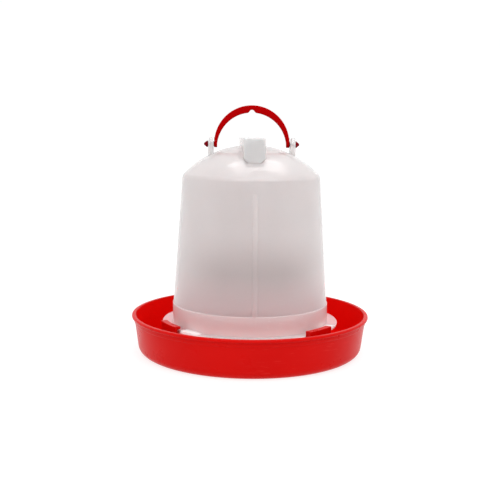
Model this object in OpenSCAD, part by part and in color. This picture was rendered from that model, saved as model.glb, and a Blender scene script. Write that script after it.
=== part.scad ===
// Poultry waterer fount of about 1.5 litres, for chicks and small poultry.
// A milky bell-shaped fount stands mouth down in a round drinking tray, where
// three unevenly spaced hooks stand in the notches of its flange, and a bail
// handle snaps into two ears on its dome. Water leaves through a notch in the
// fount's mouth until the trough has covered it, and air pressure holds the
// rest up.
//
// Millimetres. The origin is the centre of the tray's foot, +Z is up, +X runs
// along the handle's pivots and -Y is the front.

/* [Drinking tray] */
// Outer radius of the tray, over its rolled lip
tray_r = 100; // [98:0.5:108]
// Height of the tray, from its foot to the top of the lip
tray_h = 32.7; // [31:0.1:36]
// Outer radius of the leaning wall at the band under the lip
tray_wall_r = 98; // [96:0.1:98.4]
// Outer radius of the leaning wall, run on down to the foot plane
tray_foot_r = 93.9; // [92:0.1:96]
// Radius of the outer corner between the wall and the foot
tray_corner_r = 7.5; // [5:0.5:10]
// Wall thickness of the tray
tray_t = 2.2; // [1.8:0.1:2.6]
// Height of the band line under the lip
band_z = 27; // [24:0.5:28]
// How far the wall above the band stands proud of the wall below it
band_step = 0.5; // [0.2:0.1:0.8]
// Radius of the half-round lip
lip_r = 1.3; // [1:0.1:1.6]
// Radius of the raised centre hub at the trough floor
hub_r = 60; // [56:0.5:61]
// Height of the hub's top
hub_h = 12; // [8:0.5:14]

/* [Bayonet] */
// Azimuth of the front right hook
hook_front_az = -45; // [-60:1:-40]
// Azimuth of the back hook
hook_back_az = 81; // [60:1:100]
// Azimuth of the left hook
hook_left_az = -154; // [-165:1:-140]
// Angular width of a hook
hook_w = 21; // [16:1:24]
// Inner radius of a hook's post
post_in_r = 74.8; // [74.6:0.1:76]
// Outer radius of a hook's post
post_out_r = 77.3; // [77:0.1:79]
// Inner radius of a hook's lip
hook_lip_r = 72; // [71.8:0.1:73.5]
// Height of a hook's top
hook_top_z = 30; // [29.8:0.1:31]
// Thickness of a hook's lip
hook_t = 2.5; // [1.8:0.1:2.5]
// Angular width of a hook's end stop
stop_w = 2; // [1.5:0.5:4]
// Angular gap between a hook and the end of its notch
notch_gap = 1; // [0.6:0.1:2]
// Radius of a notch's root
notch_r = 71.3; // [70:0.1:71.4]
// Outer radius of the flange
flange_r = 74.1; // [72.5:0.1:74.4]
// Height of the flange's top face
flange_top_z = 26.2; // [25:0.1:26.4]
// Thickness of the flange
flange_t = 1.8; // [1.5:0.1:2.5]
// Height of the wedge pads on the flange
pad_h = 0.9; // [0.5:0.1:1]
// Angular length of a wedge pad
pad_w = 16; // [10:1:20]
// Width of the flange left free along a pad's inner and outer sides
pad_margin = 0.7; // [0.4:0.1:2]

/* [Fount] */
// Outer radius of the skirt
skirt_r = 65.5; // [65:0.1:65.8]
// Height of the step where the skirt meets the tank wall
step_z = 42.2; // [38:0.2:46]
// Outer radius of the tank wall just above the step
wall_low_r = 64.9; // [64:0.1:65.2]
// Outer radius of the tank wall at the shoulder height
wall_high_r = 57.9; // [56:0.1:60]
// Height at which the shoulder radius is taken
shoulder_z = 141; // [138:0.5:143]
// Radius of the rounded shoulder
shoulder_r = 7; // [5:0.5:9]
// Radius of the dome
dome_r = 78; // [75:1:82]
// Height of the dome's top
dome_top_z = 174; // [172:0.5:175]
// Wall thickness of the fount
fount_t = 1.8; // [1.4:0.1:2.2]
// Width of the raised strip down the front
strip_w = 4.8; // [3:0.2:6]
// How far the strip stands proud of the tank wall
strip_h = 0.6; // [0.4:0.1:1]
// Width of the feed notch in the mouth
feed_w = 14; // [8:1:18]
// Height of the feed notch's top, which sets the water level
feed_top_z = 16; // [12:0.5:18]

/* [Standing bar] */
// Width of the hollow bar across the dome
bar_w = 17.2; // [15:0.2:18]
// Length of the bar
bar_l = 88; // [80:1:92]
// Height of the bar's flat top
bar_top_z = 180; // [178:0.5:181]
// Wall thickness of the bar
bar_t = 2; // [1.6:0.1:2.4]
// Radius of the bar's upright corners
bar_corner_r = 1.5; // [1:0.1:3]
// Size of the cut across the bar's lower corners, where its ends leave the dome
bar_cut = 3.4; // [1:0.1:4]
// Height of the top of that cut
bar_cut_z = 164; // [162:0.1:165]

/* [Handle] */
// Height of the pivot axis
pivot_z = 174.6; // [174:0.1:175.5]
// Outer radius of the arch
bail_r = 31.2; // [30:0.1:31.4]
// Height of the centre of the arch's outer curve
bail_z = 175.3; // [174:0.1:177]
// Thickness of the arch at its crown
crown_t = 6; // [5:0.1:7]
// Thickness of each arm at the foot of the outer curve
arm_t = 2.5; // [2.2:0.1:3.2]
// Height to which the flat outer side of each arm reaches
arm_flat_z = 180; // [178:0.5:182]
// Depth of the arch, front to back
bail_d = 5.4; // [5:0.2:8]
// Width of the hanging notch under the crown
hang_w = 7.2; // [5:0.2:8]
// Height of the hanging notch
hang_h = 2.3; // [2:0.1:3]
// Radius of the pivot pins
pin_r = 1.95; // [1.8:0.01:1.96]
// Radius of the ears' bores
bore_r = 2.03; // [2:0.01:2.05]
// Radius of a pin's head at its base
head_r = 2.75; // [2.4:0.05:2.9]
// Radius of a pin's head at its tip
head_tip_r = 0.7; // [0.5:0.1:1.2]
// Length of a pin's head
head_l = 3.2; // [2.5:0.1:4]

/* [Handle ears] */
// Distance from the centre plane to an ear's inner face
ear_x = 32.6; // [32.2:0.1:33]
// Thickness of an ear
ear_t = 3.5; // [3:0.1:3.6]
// Radius of an ear's rounded top
ear_r = 5.4; // [5:0.1:6]
// Width of an ear where it meets the dome
ear_base_w = 14; // [12:0.5:18]
// Thickness of an ear about the pivot, where it steps inward to the bail's arm
foot_t = 4.4; // [3.8:0.1:4.5]
// Height of that step
foot_top_z = 177.4; // [177:0.1:178.4]

/* [Hidden] */
$fn = 96;

TRAY_RED = [0.84, 0.07, 0.06];
HANDLE_RED = [0.72, 0.02, 0.03];
MILKY = [0.90, 0.88, 0.87];

// A cut runs this far past the face that it opens
past = 1;
// Everything on the dome starts well inside it, and is then trimmed to its surface
inside_dome_z = 150;
// The fount's mouth rests on the trough floor
mouth_z = tray_t;
// Play between an ear's outer face and the head of its pin
head_gap = 0.3;
// Angles by which the tray's and the tank's walls lean away from upright
tray_lean = atan2(tray_wall_r - tray_foot_r, band_z);
tank_lean = atan2(wall_high_r - wall_low_r, shoulder_z - step_z);
dome_z = dome_top_z - dome_r;
// The arch's inner curve is a circle through the crown and the two arm thicknesses
crown_z = bail_z + bail_r - crown_t;
arm_in_r = bail_r - arm_t;
bail_in_r = ((crown_z - bail_z) ^ 2 + arm_in_r ^ 2) / (2 * (crown_z - bail_z));
arm_end_z = pivot_z - bail_d / 2;
head_x = ear_x + ear_t + head_gap;

// Points along an arc about centre c, from angle a0 to a1 in n steps
function arc(c, r, a0, a1, n) =
    [for (i = [0:n]) let (a = a0 + (a1 - a0) * i / n) c + r * [cos(a), sin(a)]];

// Centre of a corner of radius r between the tray's wall and a floor at height z,
// on the outline that lies inset inside the wall's outer face
function tray_corner(inset, r, z) =
    [tray_foot_r + (z + r) * tan(tray_lean) - (r + inset) / cos(tray_lean), z + r];

// Outline of the tank above the step, inset inside its outer face: the wall, the
// shoulder that runs tangent to the wall and the dome, and half the dome
function tank_outline(inset) =
    let (
        up = [sin(tank_lean), cos(tank_lean)],
        outward = [cos(tank_lean), -sin(tank_lean)],
        low = [wall_low_r, step_z] - inset * outward,
        dome_c = [0, dome_z],
        from_c = low - (shoulder_r - inset) * outward - dome_c,
        reach = dome_r - shoulder_r,
        along = from_c * up,
        t = -along + sqrt(along ^ 2 - from_c * from_c + reach ^ 2),
        corner_c = dome_c + from_c + t * up,
        dome_a = atan2(corner_c.y - dome_z, corner_c.x)
    )
    concat(
        [low],
        arc(corner_c, shoulder_r - inset, -tank_lean, dome_a, 6),
        arc(dome_c, dome_r - inset, dome_a, 90, 16)
    );

// Part of a ring between two radii, two heights and two azimuths
module sector(r0, r1, z0, z1, a0, a1) {
    rotate([0, 0, a0])
        rotate_extrude(angle = a1 - a0)
            translate([r0, z0])
                square([r1 - r0, z1 - z0]);
}

// Rectangle about the origin with rounded corners
module rounded_rect(w, l, r) {
    square([w - 2 * r, l], center = true);
    square([w, l - 2 * r], center = true);
    for (sx = [-1, 1], sy = [-1, 1])
        translate([sx * (w / 2 - r), sy * (l / 2 - r)])
            circle(r);
}

// The tank and skirt as one solid, inset inside the outer faces, from height z up
module fount_solid(inset, z) {
    rotate_extrude()
        polygon(concat(
            [[0, z], [skirt_r - inset, z], [skirt_r - inset, step_z - inset]],
            tank_outline(inset)
        ));
}

// The bar as a solid block with upright corners of radius r, inset inside its
// outer faces and cut at 45 degrees across its lower corners
module bar_block(inset, r) {
    side_x = bar_w / 2 - inset;
    low_x = side_x - bar_cut;
    corner_z = bar_cut_z + inset * tan(45 / 2);
    intersection() {
        translate([0, 0, inside_dome_z])
            linear_extrude(bar_top_z - inset - inside_dome_z)
                rounded_rect(2 * side_x, bar_l - 2 * inset, r);
        rotate([90, 0, 0])
            linear_extrude(bar_l + 2 * past, center = true)
                polygon([
                    [side_x + past, bar_top_z + past], [side_x + past, corner_z + past],
                    [low_x, corner_z - bar_cut], [low_x, inside_dome_z - past],
                    [-low_x, inside_dome_z - past], [-low_x, corner_z - bar_cut],
                    [-side_x - past, corner_z + past], [-side_x - past, bar_top_z + past]
                ]);
    }
}

// The space inside the hollow bar, open to the tank below it
module bar_cavity() {
    bar_block(bar_t, bar_corner_r / 2);
}

// Raised strip down the front of the tank, following its outline
module front_strip() {
    intersection() {
        difference() {
            fount_solid(-strip_h, step_z - 2 * strip_h);
            fount_solid(0, mouth_z);
        }
        translate([-strip_w / 2, -tray_r, mouth_z])
            cube([strip_w, tray_r, shoulder_z - mouth_z]);
    }
}

module tray_bowl() {
    lip_c = [tray_r - lip_r, tray_h - lip_r];
    lip_low_z = lip_c.y - lip_r;
    outer_c = tray_corner(0, tray_corner_r, 0);
    inner_c = tray_corner(tray_t, tray_corner_r - tray_t, tray_t);
    inner_top_r = tray_foot_r + tray_h * tan(tray_lean) - tray_t / cos(tray_lean);
    color(TRAY_RED)
        rotate_extrude()
            polygon(concat(
                [[hub_r, 0]],
                arc(outer_c, tray_corner_r, -90, -tray_lean, 6),
                [
                    [tray_wall_r - band_step, band_z - band_step],
                    [tray_wall_r, band_z],
                    [tray_wall_r + (lip_low_z - band_z) * tan(tray_lean), lip_low_z]
                ],
                arc(lip_c, lip_r, -90, 90, 8),
                [[inner_top_r, tray_h]],
                arc(inner_c, tray_corner_r - tray_t, -tray_lean, -90, 6),
                [[hub_r, tray_t]]
            ));
}

module tray_hub() {
    edge_r = 2 * tray_t;
    top_r = hub_r - (hub_h - tray_t) * tan(tray_lean);
    color(TRAY_RED)
        rotate_extrude()
            polygon(concat(
                [[0, hub_h - tray_t], [0, hub_h]],
                arc([top_r - edge_r, hub_h - edge_r], edge_r, 90, -tray_lean, 6),
                [[hub_r, tray_t], [hub_r, 0], [hub_r - tray_t, 0]],
                arc([top_r - edge_r, hub_h - edge_r], edge_r - tray_t, -tray_lean, 90, 4)
            ));
}

// A hook centred on azimuth az: a post, a lip that reaches in over the flange, and
// a stop across the end that the wedge pad turns towards
module tray_hook(az) {
    half = hook_w / 2;
    color(TRAY_RED)
        rotate([0, 0, az]) {
            sector(post_in_r, post_out_r, tray_t, hook_top_z, -half, half);
            sector(hook_lip_r, post_out_r, hook_top_z - hook_t, hook_top_z, -half, half);
            sector(hook_lip_r, post_out_r, flange_top_z - flange_t, hook_top_z, -half, stop_w - half);
        }
}

module tray_hook_front() {
    tray_hook(hook_front_az);
}

module tray_hook_back() {
    tray_hook(hook_back_az);
}

module tray_hook_left() {
    tray_hook(hook_left_az);
}

module fount_shell() {
    color(MILKY)
        difference() {
            union() {
                fount_solid(0, mouth_z);
                front_strip();
            }
            fount_solid(fount_t, mouth_z - past);
            bar_cavity();
            translate([hub_r, -feed_w / 2, mouth_z - past])
                cube([tray_r - hub_r, feed_w, feed_top_z - mouth_z + past]);
        }
}

module fount_bar() {
    color(MILKY)
        difference() {
            bar_block(0, bar_corner_r);
            bar_cavity();
            fount_solid(0, mouth_z);
        }
}

// The flange, with a shallow notch at each hook and a wedge pad beside each notch
module flange_ring() {
    low_z = flange_top_z - flange_t;
    notch_half = hook_w / 2 + notch_gap;
    color(MILKY) {
        difference() {
            sector(skirt_r, flange_r, low_z, flange_top_z, 0, 360);
            for (az = [hook_front_az, hook_back_az, hook_left_az])
                rotate([0, 0, az])
                    sector(notch_r, tray_r, low_z - past, flange_top_z + past, -notch_half, notch_half);
        }
        for (az = [hook_front_az, hook_back_az, hook_left_az])
            rotate([0, 0, az])
                sector(
                    skirt_r + pad_margin, flange_r - pad_margin,
                    low_z, flange_top_z + pad_h, notch_half, notch_half + pad_w
                );
    }
}

// Outline of an ear seen from the side, in Y and Z
module ear_outline() {
    translate([0, pivot_z])
        circle(ear_r);
    polygon([
        [-ear_r, pivot_z], [-ear_base_w / 2, inside_dome_z],
        [ear_base_w / 2, inside_dome_z], [ear_r, pivot_z]
    ]);
}

// The ear on the +X side
module ear() {
    color(MILKY)
        difference() {
            translate([ear_x + ear_t, 0, 0])
                rotate([90, 0, 90]) {
                    translate([0, 0, -ear_t])
                        linear_extrude(ear_t)
                            ear_outline();
                    translate([0, 0, -foot_t])
                        linear_extrude(foot_t)
                            intersection() {
                                ear_outline();
                                translate([-ear_base_w, 0])
                                    square([2 * ear_base_w, foot_top_z]);
                            }
                }
            translate([0, 0, pivot_z])
                rotate([0, 90, 0])
                    cylinder(r = bore_r, h = tray_r);
            fount_solid(0, mouth_z);
        }
}

module handle_ear_right() {
    ear();
}

module handle_ear_left() {
    mirror([1, 0, 0])
        ear();
}

// Front outline of the bail, in X and Z
module bail_outline() {
    difference() {
        union() {
            translate([0, bail_z])
                circle(bail_r);
            translate([-bail_r, arm_end_z])
                square([2 * bail_r, arm_flat_z - arm_end_z]);
        }
        translate([0, crown_z - bail_in_r])
            circle(bail_in_r);
        translate([-arm_in_r, arm_end_z - past])
            square([2 * arm_in_r, bail_z - arm_end_z + past]);
        translate([0, crown_z + hang_h - hang_w / 4])
            circle(hang_w / 4);
        polygon([
            [-hang_w / 2, crown_z - past / 2], [hang_w / 2, crown_z - past / 2],
            [hang_w / 4, crown_z + hang_h - hang_w / 4], [-hang_w / 4, crown_z + hang_h - hang_w / 4]
        ]);
    }
}

module bail_arch() {
    color(HANDLE_RED)
        intersection() {
            rotate([90, 0, 0])
                linear_extrude(bail_d, center = true)
                    bail_outline();
            // Arm ends rounded about the pivot, seen from the side
            rotate([90, 0, 90])
                linear_extrude(2 * bail_r + 2 * past, center = true) {
                    translate([0, pivot_z])
                        circle(bail_d / 2);
                    translate([-bail_d / 2, pivot_z])
                        square([bail_d, bail_z + bail_r - pivot_z + past]);
                }
        }
}

// The pin on the +X side, with the cone that snaps through the ear
module pivot_pin() {
    color(HANDLE_RED)
        translate([0, 0, pivot_z])
            rotate([0, 90, 0]) {
                translate([0, 0, bail_r])
                    cylinder(r = pin_r, h = head_x - bail_r);
                translate([0, 0, head_x])
                    cylinder(r1 = head_r, r2 = head_tip_r, h = head_l);
            }
}

module pivot_pin_right() {
    pivot_pin();
}

module pivot_pin_left() {
    mirror([1, 0, 0])
        pivot_pin();
}

tray_bowl();
tray_hub();
tray_hook_front();
tray_hook_back();
tray_hook_left();
fount_shell();
fount_bar();
flange_ring();
handle_ear_left();
handle_ear_right();
bail_arch();
pivot_pin_left();
pivot_pin_right();
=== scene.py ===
"""Looks of the poultry waterer: three mouldings (tray, fount and handle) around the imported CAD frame.

Lengths are in millimetres and angles in degrees. MM turns a length into metres where Blender takes it.
The lights, the floor's size and the camera's clip distances are in metres.
"""
import math

import bmesh
import bpy
from mathutils import Matrix, Vector


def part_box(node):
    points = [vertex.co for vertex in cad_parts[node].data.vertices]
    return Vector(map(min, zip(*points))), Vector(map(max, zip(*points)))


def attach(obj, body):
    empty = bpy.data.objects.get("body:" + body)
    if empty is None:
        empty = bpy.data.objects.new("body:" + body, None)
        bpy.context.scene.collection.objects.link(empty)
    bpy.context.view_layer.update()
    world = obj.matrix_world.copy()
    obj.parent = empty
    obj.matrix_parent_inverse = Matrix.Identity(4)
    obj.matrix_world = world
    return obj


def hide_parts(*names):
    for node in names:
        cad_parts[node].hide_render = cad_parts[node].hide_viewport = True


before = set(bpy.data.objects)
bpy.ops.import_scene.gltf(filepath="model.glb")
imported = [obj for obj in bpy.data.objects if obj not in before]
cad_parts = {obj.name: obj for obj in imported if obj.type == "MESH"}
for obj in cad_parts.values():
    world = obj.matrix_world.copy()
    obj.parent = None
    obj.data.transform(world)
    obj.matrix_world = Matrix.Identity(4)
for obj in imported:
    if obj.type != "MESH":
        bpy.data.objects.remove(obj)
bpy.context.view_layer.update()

MM = 0.001
TURNS = 192                 # vertices round a full turn
PAST = 2.0                  # how far a cutter reaches past the face it opens
SHARP_TURN = 35.0           # an edge that turns by more than this stays sharp
FOUNT_SHARP_TURN = 28.0     # the same for the fount

# Drinking tray
TRAY_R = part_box("tray_bowl")[1].x / MM
TRAY_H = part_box("tray_bowl")[1].z / MM
TRAY_T = 2.2
BAND_R, BAND_Z, BAND_STEP = 98.0, 27.0, 0.5
FOOT_R = 93.9
CORNER_R = 7.5
LIP_R = 1.3
HUB_R = 60.0
HUB_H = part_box("tray_hub")[1].z / MM
HUB_EDGE_R, HUB_ROOT_R, RECESS_EDGE_R = 4.4, 1.6, 0.8
STEP_R = 0.25               # rounding of a small moulded step
TRAY_LEAN = math.atan2(BAND_R - FOOT_R, BAND_Z)

# Bayonet: the azimuth of each hook's middle, and widths as angles
HOOKS = {"tray_hook_front": -45.0, "tray_hook_back": 81.0, "tray_hook_left": -154.0}
HOOK_W = 21.0
POST_IN_R, POST_OUT_R, HOOK_LIP_R = 74.8, 77.3, 72.0
HOOK_TOP_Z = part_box("tray_hook_front")[1].z / MM
HOOK_T = 2.5
HOOK_SINK = 0.6             # how far a post starts inside the tray's floor
HOOK_EDGE_R = 0.45
STOP_W = 2.0
FLANGE_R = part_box("flange_ring")[1].x / MM
FLANGE_LOW_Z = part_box("flange_ring")[0].z / MM
FLANGE_T = 1.8
FLANGE_TOP_Z = FLANGE_LOW_Z + FLANGE_T
FLANGE_EDGE_R = 0.45
FLANGE_OVERLAP = 0.9        # how far the ring starts inside the skirt
PAD_TOP_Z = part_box("flange_ring")[1].z / MM
NOTCH_R = 71.3
NOTCH_GAP = 1.0             # left free at each end of a hook
NOTCH_RAMP = 0.55           # over which the flange's edge falls into a notch
PAD_W = 16.0
PAD_GAP = 0.3               # between a notch's end and its pad
PAD_MARGIN = 0.7            # between the pad and the flange's edges
PAD_EDGE_R = 0.3

# Fount
SKIRT_R = 65.5
MOUTH_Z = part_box("fount_shell")[0].z / MM
MOUTH_EDGE_R = 0.5
STEP_Z = 42.2
WALL_LOW_R, WALL_HIGH_R, SHOULDER_Z = 64.9, 57.9, 141.0
SHOULDER_R = 7.0
DOME_R = 78.0
DOME_TOP_Z = 174.0
DOME_Z = DOME_TOP_Z - DOME_R
FOUNT_T = 1.8
STRIP_W, STRIP_H, STRIP_TOP_H, STRIP_TOP_Z = 4.8, 0.6, 0.5, 141.0
STRIP_SOFT_W = 1.0          # width over which each side of the strip rises
FEED_W, FEED_TOP_Z, FEED_R = 14.0, 16.0, 1.5
TANK_LEAN = math.atan2(WALL_HIGH_R - WALL_LOW_R, SHOULDER_Z - STEP_Z)

# Standing bar
BAR_W = 17.2
BAR_L = 88.0
BAR_TOP_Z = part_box("fount_bar")[1].z / MM
BAR_T = 2.0
BAR_CORNER_R, BAR_EDGE_R, HOLLOW_EDGE_R = 1.5, 0.8, 0.5
BAR_CUT, BAR_CUT_Z = 3.4, 164.0     # how far the sides taper inward, and the height below which they do
BAR_ROOT_Z, HOLLOW_ROOT_Z = 152, 150

# Handle and its ears
PIVOT_Z = 174.6
BAIL_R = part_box("bail_arch")[1].x / MM
BAIL_Z = 175.3
CROWN_T, ARM_T = 6.0, 2.5
ARM_FLAT_Z = 180.0
BAIL_D = 5.4
BAIL_EDGE_R = 0.8
HANG_W, HANG_H, HANG_TIP_W = 7.2, 2.3, 1.4
PIN_R, BORE_R, BORE_HALF_L = 1.95, 2.03, 60
PIN_OVERLAP = 0.6
HEAD_R, HEAD_TIP_R, HEAD_L = 2.75, 0.7, 3.2
HEAD_SHOULDER_L, HEAD_TAPER = 0.9, 0.93
EAR_X, EAR_T, EAR_R, EAR_BASE_W, EAR_ROOT_Z = 32.6, 3.5, 5.4, 14.0, 155.0
EAR_EDGE_R = 0.5
FOOT_T, FOOT_TOP_Z = 4.4, 177.4
HEAD_X = EAR_X + EAR_T + 0.3


# ---------------------------------------------------------------- meshes

def polar(radius, degrees, z):
    """The point at a radius, azimuth and height."""
    a = math.radians(degrees)
    return (radius * math.cos(a), radius * math.sin(a), z)


def smooth_step(t):
    """0 up to t = 0, 1 from t = 1, and a smooth rise between."""
    t = min(1.0, max(0.0, t))
    return t * t * (3 - 2 * t)


def arc(centre, radius, start, end, steps):
    """Points along an arc in a 2-D outline, from angle start to end."""
    points = []
    for i in range(steps + 1):
        a = math.radians(start + (end - start) * i / steps)
        points.append((centre[0] + radius * math.cos(a), centre[1] + radius * math.sin(a)))
    return points


def rounded_box(half_u, half_v, r, steps):
    """Outline of a rectangle about the origin, with its corners rounded to r."""
    points = []
    for u, v, a in ((1, 1, 0), (-1, 1, 90), (-1, -1, 180), (1, -1, 270)):
        points += arc((u * (half_u - r), v * (half_v - r)), r, a, a + 90, steps)
    return points


def rounded(corners, step=12.0):
    """An outline through corners (x, y, radius), each rounded to its radius by turns of step at most.

    A corner of radius 0, or one that hardly turns, stays as it is.
    """
    nearly_straight = math.radians(88)
    out = []
    for i, (x, y, r) in enumerate(corners):
        here = Vector((x, y))
        before = (Vector(corners[i - 1][:2]) - here).normalized()
        after = (Vector(corners[(i + 1) % len(corners)][:2]) - here).normalized()
        half = math.acos(max(-1, min(1, before.dot(after)))) / 2
        if r <= 0 or half > nearly_straight:
            out.append((x, y))
            continue
        middle = (before + after).normalized()
        centre = here + middle * (r / math.sin(half))
        first = here + before * (r / math.tan(half)) - centre
        sweep = math.pi - 2 * half
        steps = max(2, math.ceil(math.degrees(sweep) / step))
        if first.y * middle.x < first.x * middle.y:
            sweep = -sweep
        for k in range(steps + 1):
            a = sweep * k / steps
            turned = Vector((first.x * math.cos(a) - first.y * math.sin(a),
                             first.x * math.sin(a) + first.y * math.cos(a)))
            out.append(tuple(centre + turned))
    return out


def piece(name, points, faces, turn=None):
    """A mesh object from points in millimetres."""
    mesh = bpy.data.meshes.new(name)
    mesh.from_pydata([tuple(Vector(p) * MM) for p in points], [], faces)
    if turn is not None:
        mesh.transform(turn)
    mesh.validate()
    obj = bpy.data.objects.new(name, mesh)
    bpy.context.scene.collection.objects.link(obj)
    tidy_mesh(obj)
    return obj


def tidy_mesh(obj, sharp=SHARP_TURN):
    """Merges doubles, turns every face outward and marks the edges that stay sharp."""
    same = 0.5e-6
    bm = bmesh.new()
    bm.from_mesh(obj.data)
    bmesh.ops.remove_doubles(bm, verts=bm.verts, dist=same)
    bmesh.ops.dissolve_degenerate(bm, edges=bm.edges, dist=same)
    bmesh.ops.recalc_face_normals(bm, faces=bm.faces)
    bm.to_mesh(obj.data)
    bm.free()
    obj.data.polygons.foreach_set("use_smooth", [True] * len(obj.data.polygons))
    obj.data.set_sharp_from_angle(angle=math.radians(sharp))
    obj.data.update()


def rings(loops, closed=False):
    """Points and faces of a skin over loops of equal length: a solid with flat ends, or a closed ring."""
    n = len(loops[0])
    points = [p for loop in loops for p in loop]
    faces = []
    for i in range(len(loops) if closed else len(loops) - 1):
        a, b = i * n, ((i + 1) % len(loops)) * n
        for k in range(n):
            m = (k + 1) % n
            faces.append((a + k, a + m, b + m, b + k))
    if not closed:
        faces.append(tuple(range(n))[::-1])
        faces.append(tuple((len(loops) - 1) * n + k for k in range(n)))
    return points, faces


def lathe(name, outline, turn=None):
    """A solid of revolution about Z from a closed outline of (r, z)."""
    points, faces, index = [], [], []
    for r, z in outline:
        if r < 1e-6:
            index.append([len(points)] * TURNS)
            points.append((0, 0, z))
        else:
            index.append(list(range(len(points), len(points) + TURNS)))
            points += [polar(r, 360 * k / TURNS, z) for k in range(TURNS)]
    for i, a in enumerate(index):
        b = index[(i + 1) % len(index)]
        if a[0] == a[1] and b[0] == b[1]:
            continue
        for k in range(TURNS):
            m = (k + 1) % TURNS
            face = []
            for v in (a[k], a[m], b[m], b[k]):
                if v not in face:
                    face.append(v)
            faces.append(tuple(face))
    return piece(name, points, faces, turn)


def boolean(base, operation, others):
    """Applies others to base and removes them."""
    for other in others:
        mod = base.modifiers.new(other.name, "BOOLEAN")
        mod.operation, mod.object, mod.solver = operation, other, "MANIFOLD"
    bpy.context.view_layer.update()
    made = bpy.data.meshes.new_from_object(base.evaluated_get(bpy.context.evaluated_depsgraph_get()))
    base.modifiers.clear()
    base.data = made
    for other in others:
        bpy.data.objects.remove(other)


def pivot_turn(turn):
    """The transform that lays a solid of revolution along the handle's pivots."""
    return Matrix.Translation((0, 0, PIVOT_Z * MM)) @ Matrix.Rotation(turn, 4, "Y")


# ---------------------------------------------------------------- tray

def wall_r(z, inset=0.0):
    """Radius of the tray's leaning wall at height z, inset inside its outer face."""
    return FOOT_R + z * math.tan(TRAY_LEAN) - inset / math.cos(TRAY_LEAN)


def make_tray():
    """The bowl and its hub as one skin, from the hub's top over the lip to the recess under the hub."""
    fine_r = 0.2
    hub_top_r = HUB_R - (HUB_H - TRAY_T) * math.tan(TRAY_LEAN)
    lip_low = TRAY_H - 2 * LIP_R
    return lathe("tray", rounded([
        (0, HUB_H, 0),
        (hub_top_r, HUB_H, HUB_EDGE_R),
        (HUB_R, TRAY_T, HUB_ROOT_R),
        (wall_r(TRAY_T, TRAY_T), TRAY_T, CORNER_R - TRAY_T),
        (wall_r(TRAY_H, TRAY_T), TRAY_H, 0.6),
        (TRAY_R, TRAY_H, LIP_R),
        (TRAY_R, lip_low, LIP_R * 0.98),    # a little less, so that the lip's two roundings stay apart
        (BAND_R + (lip_low - BAND_Z) * math.tan(TRAY_LEAN), lip_low, STEP_R),
        (BAND_R, BAND_Z, fine_r),
        (BAND_R - BAND_STEP, BAND_Z - BAND_STEP, fine_r),
        (wall_r(0), 0, CORNER_R),
        (HUB_R - TRAY_T, 0, RECESS_EDGE_R),
        (hub_top_r - TRAY_T, HUB_H - TRAY_T, HUB_EDGE_R - TRAY_T),
        (0, HUB_H - TRAY_T, 0),
    ], step=10.0))


def make_hook(name, azimuth):
    """A post with a lip that reaches in over the flange, and a stop at its clockwise end."""
    low = TRAY_T - HOOK_SINK
    stop = [(0, FLANGE_LOW_Z), (STOP_W, FLANGE_LOW_Z)]
    lip = [(STOP_W + (HOOK_W - STOP_W) * k / 10, HOOK_TOP_Z - HOOK_T) for k in range(11)]
    loops = []
    for w, under in stop + lip:
        section = [
            (POST_OUT_R, low), (POST_OUT_R, HOOK_TOP_Z), (HOOK_LIP_R, HOOK_TOP_Z),
            (HOOK_LIP_R, under), (POST_IN_R, under), (POST_IN_R, low),
        ]
        loops.append([polar(r, azimuth - HOOK_W / 2 + w, z) for r, z in section])
    obj = piece(name.replace("tray_", ""), *rings(loops))
    bevel = obj.modifiers.new("edges", "BEVEL")
    bevel.width, bevel.segments, bevel.limit_method = HOOK_EDGE_R * MM, 3, "ANGLE"
    bevel.angle_limit = math.radians(40)
    return obj


# ---------------------------------------------------------------- fount

def tank_outline(inset, low_z):
    """Half outline of the skirt and tank, inset inside the outer face, from low_z to the dome's top."""
    up = Vector((math.sin(TANK_LEAN), math.cos(TANK_LEAN)))
    out = Vector((math.cos(TANK_LEAN), -math.sin(TANK_LEAN)))
    dome_c = Vector((0, DOME_Z))
    low = Vector((WALL_LOW_R, STEP_Z)) - inset * out
    # the shoulder's centre is where a line beside the wall meets a circle inside the dome
    from_c = low - (SHOULDER_R - inset) * out - dome_c
    along = from_c.dot(up)
    t = -along + math.sqrt(along ** 2 - from_c.length_squared + (DOME_R - SHOULDER_R) ** 2)
    corner = dome_c + from_c + t * up
    dome_a = math.degrees(math.atan2(corner.y - DOME_Z, corner.x))
    wall_top = corner + (SHOULDER_R - inset) * out
    skirt = SKIRT_R - inset
    foot = [(skirt, low_z)]
    if inset <= 0:
        foot = arc((skirt - MOUTH_EDGE_R, low_z + MOUTH_EDGE_R), MOUTH_EDGE_R, -90, 0, 4)
    step_corners = [(skirt, low_z, 0), (skirt, STEP_Z - inset, STEP_R), (*low, STEP_R), (*wall_top, 0)]
    step = rounded(step_corners)[1:-1]
    wall = [tuple(low.lerp(wall_top, k / 6)) for k in range(1, 6)]
    shoulder = arc(corner, SHOULDER_R - inset, -math.degrees(TANK_LEAN), dome_a, 10)
    return foot + step + wall + shoulder + arc(dome_c, DOME_R - inset, dome_a, 90, 30)[1:]


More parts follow.
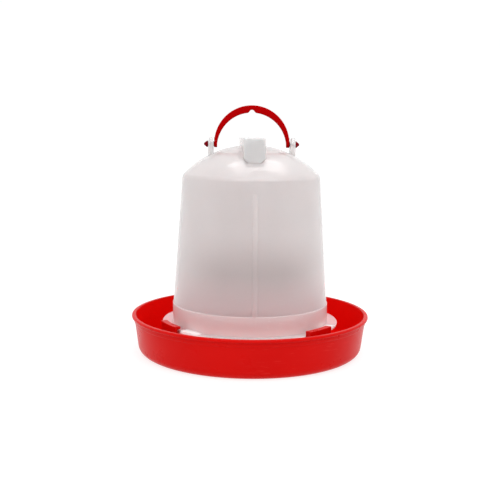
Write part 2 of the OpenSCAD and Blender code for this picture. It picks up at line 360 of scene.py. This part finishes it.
def bar_solid(name, inset, low_z, top_z, edge_r):
    """The bar across the dome, inset inside its outer faces. Its sides taper inward below BAR_CUT_Z."""
    soft = 0.3
    top_bend = BAR_CUT_Z + inset * math.tan(math.pi / 8)
    low_bend = top_bend - BAR_CUT
    levels = [(z, 0) for z in (low_z, low_bend - 0.2, low_bend + soft, top_bend - soft, top_bend + soft)]
    levels += [(top_z - edge_r + z, edge_r - x) for x, z in arc((0, 0), edge_r, 0, 90, 6)]
    loops = []
    for z, shrink in levels:
        cut = min(BAR_CUT, max(0.0, top_bend - z))
        r = max(0.3, BAR_CORNER_R - inset / 2 - shrink)
        outline = rounded_box(BAR_W / 2 - inset - shrink - cut, BAR_L / 2 - inset - shrink, r, 5)
        loops.append([(x, y, z) for x, y in outline])
    return piece(name, *rings(loops))


def off_azimuth(a, centre):
    """How far apart two azimuths are."""
    return abs((a - centre + 180) % 360 - 180)


def flange_solid():
    """The flange ring: its outer radius falls to the notch's root at each hook."""
    half = HOOK_W / 2 + NOTCH_GAP
    # a section every 3 degrees, and 7 close ones over each end of a notch
    azimuths = {3.0 * k for k in range(120)}
    for centre in HOOKS.values():
        azimuths = {a for a in azimuths if abs(off_azimuth(a, centre) - half) > 1.2}
        for k in range(7):
            off = half - NOTCH_RAMP / 2 + NOTCH_RAMP * k / 6
            azimuths |= {(centre + off) % 360, (centre - off) % 360}
    loops = []
    for a in sorted(azimuths):
        r = FLANGE_R
        for centre in HOOKS.values():
            ramp = (off_azimuth(a, centre) - half + NOTCH_RAMP / 2) / NOTCH_RAMP
            r -= (FLANGE_R - NOTCH_R) * (1 - smooth_step(ramp))
        e = FLANGE_EDGE_R
        section = [(SKIRT_R - FLANGE_OVERLAP, FLANGE_LOW_Z)]
        section += arc((r - e, FLANGE_LOW_Z + e), e, -90, 0, 4)
        section += arc((r - e, FLANGE_TOP_Z - e), e, 0, 90, 4)
        section += [(SKIRT_R - FLANGE_OVERLAP, FLANGE_TOP_Z)]
        loops.append([polar(x, a, z) for x, z in section])
    return piece("flange", *rings(loops, closed=True))


def pad_solid(centre):
    """The wedge pad beside a notch: level from the notch on, then down into the flange at its far end."""
    start = centre + HOOK_W / 2 + NOTCH_GAP + PAD_GAP
    r0, r1, e = SKIRT_R + PAD_MARGIN, FLANGE_R - PAD_MARGIN, PAD_EDGE_R
    low = FLANGE_LOW_Z + 0.4
    wedge_share = 0.4   # how much of its length the wedge takes
    sink = 0.02
    loops = []
    for k in range(13):
        t = k / 12
        top = FLANGE_TOP_Z + (PAD_TOP_Z - FLANGE_TOP_Z) * min(1.0, (1 - t) / wedge_share) - sink
        section = [(r0, low), (r1, low)]
        section += arc((r1 - e, top - e), e, 0, 90, 3) + arc((r0 + e, top - e), e, 90, 180, 3)
        loops.append([polar(r, start + PAD_W * t, z) for r, z in section])
    return piece("pad", *rings(loops))


def ear_outline(inset, top_z=None):
    """Side outline of an ear in Y and Z, inset inside its edge and cut flat at top_z if that is given."""
    r, half = EAR_R - inset, EAR_BASE_W / 2 - inset
    top_a = 90 if top_z is None else math.degrees(math.asin((top_z - inset - PIVOT_Z) / r))
    return (arc((0, PIVOT_Z), r, 0, top_a, 12) + arc((0, PIVOT_Z), r, 180 - top_a, 180, 12)
            + [(-half, EAR_ROOT_Z), (half, EAR_ROOT_Z)])


def ear_solid(side):
    """One ear, with rounded edges."""
    edge = [(EAR_EDGE_R - x, EAR_EDGE_R - d) for x, d in arc((0, 0), EAR_EDGE_R, 0, 90, 5)]
    stations = edge + [(EAR_T - x, d) for x, d in reversed(edge)]
    loops = [[(side * (EAR_X + x), y, z) for y, z in ear_outline(d)] for x, d in stations]
    return piece("ear", *rings(loops))


def ear_foot_solid(side):
    """The thicker part of an ear about the pivot, which steps inward to the handle's arm."""
    inner_x = EAR_X + EAR_T - FOOT_T
    soft_edge = [(0, 0.4), (0.08, 0.22), (0.2, 0.1), (0.4, 0.05)]
    stations = soft_edge + [(FOOT_T - 1.0, 0.05)]
    loops = [[(side * (inner_x + x), y, z) for y, z in ear_outline(d, FOOT_TOP_Z)] for x, d in stations]
    return piece("ear_foot", *rings(loops))


def strip_solid():
    """The raised strip down the tank's front, with soft sides. It meets the skirt flush at the step."""
    root, sink, flush = 0.8, 0.12, 0.02
    low_fade, top_fade = 20, 2
    outline = [p for p in tank_outline(0, MOUTH_Z) if p[1] > STEP_Z + 0.4]
    stations = [(SKIRT_R, STEP_Z - 1.0), (WALL_LOW_R, STEP_Z + 0.1)]
    for (r0, z0), (r1, z1) in zip(outline, outline[1:]):
        between = [(r0 + (r1 - r0) * k / 4, z0 + (z1 - z0) * k / 4) for k in range(4)]
        stations += [p for p in between if p[1] < STRIP_TOP_Z]
    half = STRIP_W / 2
    loops = []
    for r, z in stations:
        rise = STRIP_TOP_H + (STRIP_H - STRIP_TOP_H) * smooth_step((STEP_Z + low_fade - z) / low_fade)
        if r == SKIRT_R:
            rise = flush
        rise *= smooth_step((STRIP_TOP_Z - z) / top_fade)
        flank = [(-half, -root)]
        for k in range(6):
            flank.append((-half + STRIP_SOFT_W * k / 5, (rise + sink) * smooth_step(k / 5) - sink))
        section = flank + [(-x, h) for x, h in reversed(flank)]
        loops.append([(x, -math.sqrt(r * r - x * x) - h, z) for x, h in section])
    return piece("strip", *rings(loops))


def make_fount():
    """The fount as one skin: all that stands outside is joined, then the hollows and holes are cut."""
    outer = lathe("fount", [(0, MOUTH_Z)] + tank_outline(0, MOUTH_Z))
    adds = [bar_solid("bar", 0, BAR_ROOT_Z, BAR_TOP_Z, BAR_EDGE_R), flange_solid(), strip_solid()]
    for side in (1, -1):
        adds += [ear_solid(side), ear_foot_solid(side)]
    adds += [pad_solid(a) for a in HOOKS.values()]
    boolean(outer, "UNION", adds)
    inner = lathe("inner", [(0, MOUTH_Z - PAST)] + tank_outline(FOUNT_T, MOUTH_Z - PAST))
    hollow = bar_solid("hollow", BAR_T, HOLLOW_ROOT_Z, BAR_TOP_Z - BAR_T, HOLLOW_EDGE_R)
    half = FEED_W / 2
    feed = rounded([(-half, 0, 0), (half, 0, 0), (half, FEED_TOP_Z, FEED_R), (-half, FEED_TOP_Z, FEED_R)])
    slot = piece("slot", *rings([[(x, y, z) for y, z in feed] for x in (HUB_R, HUB_R + 10)]))
    end = BORE_HALF_L
    bore = lathe("bore", [(0, -end), (BORE_R, -end), (BORE_R, end), (0, end)], pivot_turn(math.pi / 2))
    boolean(outer, "DIFFERENCE", [inner, hollow, slot, bore])
    tidy_mesh(outer, FOUNT_SHARP_TURN)
    return outer


# ---------------------------------------------------------------- handle

def bail_inside():
    """Centre height and radius of the circle inside the arch: thick at the crown, thin at the arms."""
    rise = BAIL_R - CROWN_T
    radius = (rise ** 2 + (BAIL_R - ARM_T) ** 2) / (2 * rise)
    return BAIL_Z + rise - radius, radius


def bail_half():
    """Sections from the right arm's end up to the crown: outer point, inner point and, on the arm, height."""
    end_z = PIVOT_Z - BAIL_D / 2
    half = []
    for k in range(13):
        z = end_z + (BAIL_Z - end_z) * math.sin(math.pi / 2 * k / 13) ** 0.9
        half.append((Vector((BAIL_R, z)), Vector((BAIL_R - ARM_T, z)), z))
    centre_z, radius = bail_inside()
    flat_a = math.degrees(math.asin((ARM_FLAT_Z - BAIL_Z) / BAIL_R))
    # sections every 2.25 degrees, and closer ones round the hanging notch and where the arm's flat ends
    angles = {round(2.25 * k, 4) for k in range(36)} | {round(81 + 9 * k / 24, 4) for k in range(25)}
    angles |= {round(flat_a + 0.15 * k, 4) for k in range(-4, 5)}
    for a in sorted(angles):
        dx, dz = math.cos(math.radians(a)), math.sin(math.radians(a))
        out = Vector((BAIL_R * dx, BAIL_Z + BAIL_R * dz))
        out.x += (BAIL_R - out.x) * smooth_step((ARM_FLAT_Z + 0.3 - out.y) / 0.6)
        along = dz * (BAIL_Z - centre_z)
        reach = -along + math.sqrt(along * along - (BAIL_Z - centre_z) ** 2 + radius ** 2)
        inn = Vector((dx * reach, BAIL_Z + dz * reach))
        inn.y += HANG_H * smooth_step((HANG_W / 2 - abs(inn.x)) / (HANG_W / 2 - HANG_TIP_W / 2))
        half.append((out, inn, None))
    return half


def make_bail():
    """A rounded bar swept along the arch and down both arms, with the hanging notch under its crown."""
    half = bail_half()
    path = half + [(Vector((-o.x, o.y)), Vector((-i.x, i.y)), z) for o, i, z in reversed(half[:-1])]
    loops = []
    for out, inn, z in path:
        depth = BAIL_D / 2
        if z is not None and z < PIVOT_Z:
            depth = math.sqrt(max(0.04, depth ** 2 - (PIVOT_Z - z) ** 2))
        mid, across = (out + inn) / 2, (out - inn) / 2
        thick = across.length
        unit = across.normalized()
        loop = []
        for u, v in rounded_box(thick, depth, min(BAIL_EDGE_R, thick * 0.6, depth * 0.9), 4):
            p = mid + unit * u
            loop.append((p.x, v, p.y))
        loops.append(loop)
    return piece("bail", *rings(loops))


def make_pin(side):
    """A pivot pin with the rounded cone that snaps through the ear."""
    outline = rounded([
        (0, BAIL_R - PIN_OVERLAP, 0),
        (PIN_R, BAIL_R - PIN_OVERLAP, 0),
        (PIN_R, HEAD_X, 0),
        (HEAD_R, HEAD_X, 0.35),
        (HEAD_R * HEAD_TAPER, HEAD_X + HEAD_SHOULDER_L, 0.8),
        (HEAD_TIP_R, HEAD_X + HEAD_L, 0.45),
        (0, HEAD_X + HEAD_L, 0),
    ])
    return lathe("pin_right" if side > 0 else "pin_left", outline, pivot_turn(side * math.pi / 2))


# ---------------------------------------------------------------- materials

class Tree:
    """The node tree of a material or a world, with a short call for each kind of node used here.

    A value is a number, a colour or the output of another node.
    """

    def __init__(self, owner, coordinates):
        owner.use_nodes = True
        self.nodes, self.links = owner.node_tree.nodes, owner.node_tree.links
        self.coordinates = self.nodes.new("ShaderNodeTexCoord").outputs[coordinates]

    def feed(self, socket, value):
        """Gives a socket its value."""
        if isinstance(value, bpy.types.NodeSocket):
            self.links.new(value, socket)
        elif socket.type == "RGBA":
            socket.default_value = (*value, 1)
        else:
            socket.default_value = value

    def noise(self, scale, detail, squeeze=(1, 1, 1)):
        """Noise with scale cells to the metre, and more of them along an axis that is squeezed."""
        mapping = self.nodes.new("ShaderNodeMapping")
        self.feed(mapping.inputs["Vector"], self.coordinates)
        self.feed(mapping.inputs["Scale"], squeeze)
        texture = self.nodes.new("ShaderNodeTexNoise")
        self.feed(texture.inputs["Vector"], mapping.outputs["Vector"])
        self.feed(texture.inputs["Scale"], scale)
        self.feed(texture.inputs["Detail"], detail)
        return texture.outputs["Fac"]

    def ramp(self, value, low, high, low_to=0.0, high_to=1.0, smooth=False):
        """Turns the range from low to high into the range from low_to to high_to."""
        node = self.nodes.new("ShaderNodeMapRange")
        if smooth:
            node.interpolation_type = "SMOOTHSTEP"
        self.feed(node.inputs["Value"], value)
        self.feed(node.inputs["From Min"], low)
        self.feed(node.inputs["From Max"], high)
        self.feed(node.inputs["To Min"], low_to)
        self.feed(node.inputs["To Max"], high_to)
        return node.outputs["Result"]

    def maths(self, operation, a, b=0.0):
        """One step of arithmetic, named as Blender's Math node names it."""
        node = self.nodes.new("ShaderNodeMath")
        node.operation = operation
        self.feed(node.inputs[0], a)
        self.feed(node.inputs[1], b)
        return node.outputs["Value"]

    def mix(self, factor, a, b):
        """Colour a where factor is 0, and colour b where it is 1."""
        node = self.nodes.new("ShaderNodeMix")
        node.data_type = "RGBA"
        self.feed(node.inputs["Factor"], factor)
        self.feed(node.inputs["A"], a)
        self.feed(node.inputs["B"], b)
        return node.outputs["Result"]

    def along(self, axis):
        """The coordinate along an axis."""
        split = self.nodes.new("ShaderNodeSeparateXYZ")
        self.feed(split.inputs["Vector"], self.coordinates)
        return split.outputs[axis]


def plastic(name, base, dark, wear, rough, sockets, painted_shade=None, painted_light=None):
    """Moulded plastic: a slow drift from base to dark, mottling, scuffs of colour wear, gloss and grain.

    sockets holds the shader's other constants. cloud is (height, near, far, half width, strength): painted
    shade, a soft dark zone about that height, full up to near and gone at far, and fading out sideways to
    half width. blush is (axis, low, high, colour): painted light, that colour at the low place along the
    axis, fading out towards the high one.
    """
    drift_scale, mottle_scale, scuff_scale, patch_scale, gloss_scale = 18, 900, 120, 9, 60
    grain_scale, ripple_scale, grain_depth = 700, 45, 0.04 * MM
    mat = bpy.data.materials.new(name)
    tree = Tree(mat, "Object")
    body = tree.mix(tree.ramp(tree.noise(drift_scale, 2), 0.35, 0.65), base, dark)
    mottle = tree.ramp(tree.noise(mottle_scale, 2), 0.55, 0.75, 0.0, 0.2)
    body = tree.mix(mottle, body, tuple(c * 0.88 for c in base))
    lines = tree.ramp(tree.noise(scuff_scale, 6, (1, 1, 5)), 0.60, 0.72)
    scuffs = tree.maths("MULTIPLY", lines, tree.ramp(tree.noise(patch_scale, 2), 0.45, 0.6))
    body = tree.mix(tree.maths("MULTIPLY", scuffs, 0.35), body, wear)
    # painted shade: a soft dark zone about one height, darkest towards x = 0
    if painted_shade:
        height, near, far, half_width, strength = painted_shade
        off_z = tree.maths("ABSOLUTE", tree.maths("SUBTRACT", tree.along("Z"), height * MM))
        off_x = tree.maths("ABSOLUTE", tree.along("X"))
        share = tree.maths("MULTIPLY", tree.ramp(off_z, near * MM, far * MM, 1.0, 0.0, smooth=True),
                           tree.ramp(off_x, 0.3 * half_width * MM, half_width * MM, 1.0, 0.0, smooth=True))
        body = tree.mix(tree.maths("MULTIPLY", share, strength), body, (0.0, 0.0, 0.0))
    # painted light: a colour that fades in towards one end along an axis
    if painted_light:
        axis, low, high, colour = painted_light
        body = tree.mix(tree.ramp(tree.along(axis), low * MM, high * MM, 1.0, 0.0), body, colour)
    gloss = tree.ramp(tree.noise(gloss_scale, 4), 0.3, 0.7, rough - 0.05, rough + 0.06)
    ripple = tree.maths("MULTIPLY", tree.noise(ripple_scale, 2), 2.0)
    bump = tree.nodes.new("ShaderNodeBump")
    tree.feed(bump.inputs["Strength"], 0.25)
    tree.feed(bump.inputs["Distance"], grain_depth)
    tree.feed(bump.inputs["Height"], tree.maths("ADD", tree.noise(grain_scale, 3), ripple))
    shader = tree.nodes["Principled BSDF"]
    tree.feed(shader.inputs["Base Color"], body)
    tree.feed(shader.inputs["Roughness"], tree.maths("ADD", gloss, tree.maths("MULTIPLY", scuffs, 0.15)))
    tree.feed(shader.inputs["Normal"], bump.outputs["Normal"])
    for socket, value in sockets.items():
        tree.feed(shader.inputs[socket], value)
    return mat


def milky(name, base, through, depth, painted_shade=None, painted_light=None):
    """Translucent polypropylene. The share through of the light passes, and the rest spreads over depth."""
    sockets = {
        "IOR": 1.49,
        "Transmission Weight": through,
        "Coat Weight": 0.7,
        "Coat Roughness": 0.04,
        "Subsurface Weight": 1.0,
        "Subsurface Radius": (1.0, 0.9, 0.88),
        "Subsurface Scale": depth * MM,
    }
    dark = tuple(c * 0.975 for c in base)
    return plastic(name, base, dark, (0.96, 0.94, 0.94), 0.42, sockets, painted_shade, painted_light)


tray_red = plastic(
    "tray_red", base=(0.585, 0.0025, 0.0012), dark=(0.555, 0.002, 0.001), wear=(0.66, 0.03, 0.025),
    rough=0.30, sockets={"Specular IOR Level": 0.06})
# The inside's lighter red is painted light; its satin gloss is the mould core's own finish.
satin_painted_lighter = plastic(
    "tray_red_satin_painted_lighter", base=(0.84, 0.003, 0.0015), dark=(0.80, 0.0025, 0.001), wear=(0.82, 0.02, 0.015),
    rough=0.45, sockets={"Specular IOR Level": 0.03, "IOR": 1.25})
handle_red = plastic(
    "handle_red", base=(0.40, 0.0008, 0.0015), dark=(0.37, 0.0008, 0.0015), wear=(0.50, 0.02, 0.02),
    rough=0.5, sockets={"Specular IOR Level": 0.01, "IOR": 1.15})
# painted shade: the pins are the same red moulding as the handle, painted darker as they are lit less.
pin_red_painted_shade = plastic(
    "pin_red_painted_shade", base=(0.19, 0.002, 0.006), dark=(0.16, 0.002, 0.006), wear=(0.30, 0.03, 0.04),
    rough=0.5, sockets={"Specular IOR Level": 0.01})

# The tank's pinkish base and the pink fading in towards its bottom are painted red light from the tray; its
# dark zone is painted shade.
milky_tank = milky(
    "milky_tank", base=(0.865, 0.775, 0.768), through=0.38, depth=5.0,
    painted_shade=(50.0, 24.0, 59.0, 72.0, 0.285), painted_light=("Z", 44.0, 74.0, (0.82, 0.65, 0.655)))
# The skirt's pink, lighter towards its bottom, is painted red light from the tray.
milky_skirt = milky(
    "milky_skirt", base=(0.80, 0.69, 0.69), through=0.18, depth=1.5,
    painted_light=("Z", 28.0, 42.0, (0.93, 0.755, 0.75)))
# The flange's pink is painted red light from the tray shining through it, and its whiter front is painted
# light.
milky_flange = milky(
    "milky_flange", base=(0.98, 0.44, 0.46), through=0.50, depth=2.0,
    painted_light=("Y", -64.0, -40.0, (1.0, 0.95, 0.95)))
# The thick parts' white is partly their own thickness and partly a painted highlight.
milky_thick_and_highlight = milky("milky_thick_and_highlight", base=(1.0, 0.95, 0.95), through=0.06, depth=2.0)
milky_bar = milky("milky_bar", base=(0.84, 0.82, 0.815), through=0.40, depth=5.0)


def cover(obj, *materials):
    """Gives a piece its materials. The first one covers it until faces are given another."""
    obj.data.materials.clear()
    for material in materials:
        obj.data.materials.append(material)


def paint_tray(obj):
    """Glossy outside, and satin on the faces that the mould's core makes, whose red is painted lighter to
    stand in for light.
    """
    cover(obj, tray_red, satin_painted_lighter)
    for face in obj.data.polygons:
        c = face.center / MM
        outward = face.normal.x * c.x + face.normal.y * c.y > 0
        if TRAY_T * 0.9 < c.z < TRAY_H - 0.7 and (face.normal.z > 0.5 or not outward):
            face.material_index = 1


def paint_fount(obj):
    """Each part of the fount by its place. The pads and the flange's edge are the thick parts, whose whiter
    look is partly a painted highlight.
    """
    tank, skirt, flange, thick, bar = range(5)
    clear = 0.3     # how far past a surface a face has to be to belong to what stands out of it
    cover(obj, milky_tank, milky_skirt, milky_flange, milky_thick_and_highlight, milky_bar)
    for face in obj.data.polygons:
        c = face.center / MM
        r = math.hypot(c.x, c.y)
        dome_z = DOME_Z + math.sqrt(DOME_R ** 2 - r * r) if r < DOME_R else 0
        edge = r > FLANGE_R - 0.5 and abs(face.normal.z) < 0.9
        if c.z >= STEP_Z:
            look = bar if c.z > max(SHOULDER_Z, dome_z + clear) else tank
        elif r <= SKIRT_R + clear:
            look = skirt
        else:
            # the thick look, white partly for thickness and partly as a painted highlight
            look = thick if edge or c.z > FLANGE_TOP_Z + 0.1 else flange
        face.material_index = look


def place(obj, body, slot, *nodes):
    """Rides a piece on its body, in the place of the CAD nodes that it stands for."""
    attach(obj, body)
    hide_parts(*nodes)


tray = make_tray()
paint_tray(tray)
place(tray, "tray", "tray_red", "tray_bowl", "tray_hub")
for node, azimuth in HOOKS.items():
    hook = make_hook(node, azimuth)
    cover(hook, tray_red)
    place(hook, "tray", "tray_red", node)

fount = make_fount()
paint_fount(fount)
place(fount, "fount", "fount_milky",
      "fount_shell", "fount_bar", "flange_ring", "handle_ear_left", "handle_ear_right")

bail = make_bail()
cover(bail, handle_red)
place(bail, "handle", "handle_red", "bail_arch")
for side, node in ((1, "pivot_pin_right"), (-1, "pivot_pin_left")):
    pin = make_pin(side)
    cover(pin, pin_red_painted_shade)
    place(pin, "handle", "handle_red", node)


# ---------------------------------------------------------------- floor, light, camera

def make_floor():
    """A matt white sheet just under the tray's foot, lit a little from below as on a light table."""
    half, z = 12.0, -0.1 * MM
    paper = bpy.data.materials.new("paper")
    paper.use_nodes = True
    shader = paper.node_tree.nodes["Principled BSDF"]
    shader.inputs["Base Color"].default_value = (0.30, 0.30, 0.30, 1)
    shader.inputs["Roughness"].default_value = 0.8
    shader.inputs["Specular IOR Level"].default_value = 0.1
    shader.inputs["Emission Color"].default_value = (1, 1, 1, 1)
    shader.inputs["Emission Strength"].default_value = 0.76
    mesh = bpy.data.meshes.new("floor")
    corners = [(x * half, y * half, z) for x, y in ((-1, -1), (1, -1), (1, 1), (-1, 1))]
    mesh.from_pydata(corners, [], [(0, 1, 2, 3)])
    mesh.materials.append(paper)
    obj = bpy.data.objects.new("floor", mesh)
    bpy.context.scene.collection.objects.link(obj)


def softbox(name, stand, aim, size, power, turn=0.0):
    """A rectangular light of that size, aimed at a point and then turned about Z."""
    light = bpy.data.lights.new(name, "AREA")
    light.shape, light.energy = "RECTANGLE", power
    light.size, light.size_y = size
    obj = bpy.data.objects.new(name, light)
    obj.location = stand
    obj.rotation_mode = "QUATERNION"
    aimed = (Vector(aim) - Vector(stand)).to_track_quat("-Z", "Y")
    obj.rotation_quaternion = Matrix.Rotation(math.radians(turn), 3, "Z").to_quaternion() @ aimed
    bpy.context.scene.collection.objects.link(obj)


def make_world():
    """White all round, and darker behind the camera."""
    world = bpy.data.worlds.new("studio")
    tree = Tree(world, "Generated")
    background = tree.nodes["Background"]
    tree.feed(background.inputs["Color"], (1, 1, 1))
    strength = tree.ramp(tree.along("Y"), -0.9, -0.25, 0.10, 1.02, smooth=True)
    tree.feed(background.inputs["Strength"], strength)
    bpy.context.scene.world = world


def make_camera():
    """A long lens in front of the object, a little to the left and above."""
    turn, rise, roll = math.radians(-3.2), math.radians(8.16), math.radians(0.62)
    aim = Vector((-0.48, 0.03, 85.77))
    reach = 700.0
    back = Vector((math.sin(turn) * math.cos(rise), -math.cos(turn) * math.cos(rise), math.sin(rise)))
    level = Vector((math.cos(turn), math.sin(turn), 0))
    upright = back.cross(level)
    right = level * math.cos(roll) + upright * math.sin(roll)
    up = upright * math.cos(roll) - level * math.sin(roll)
    data = bpy.data.cameras.new("camera")
    data.lens, data.sensor_width = 59.52, 36.0
    data.clip_start, data.clip_end = 0.05, 50
    camera = bpy.data.objects.new("camera", data)
    facing = Matrix((right, up, back)).transposed().to_4x4()
    camera.matrix_world = Matrix.Translation((aim + back * reach) * MM) @ facing
    bpy.context.scene.collection.objects.link(camera)
    bpy.context.scene.camera = camera


make_floor()
softbox("overhead", (0.14, 0.33, 1.25), (0.14, 0.33, 0.0), (0.95, 0.50), 4.5, 14.0)
softbox("front", (0.06, -1.10, 1.15), (0, 0, 0.06), (2.0, 1.2), 16.8)
make_world()
make_camera()
bpy.context.scene.view_settings.view_transform = "Standard"
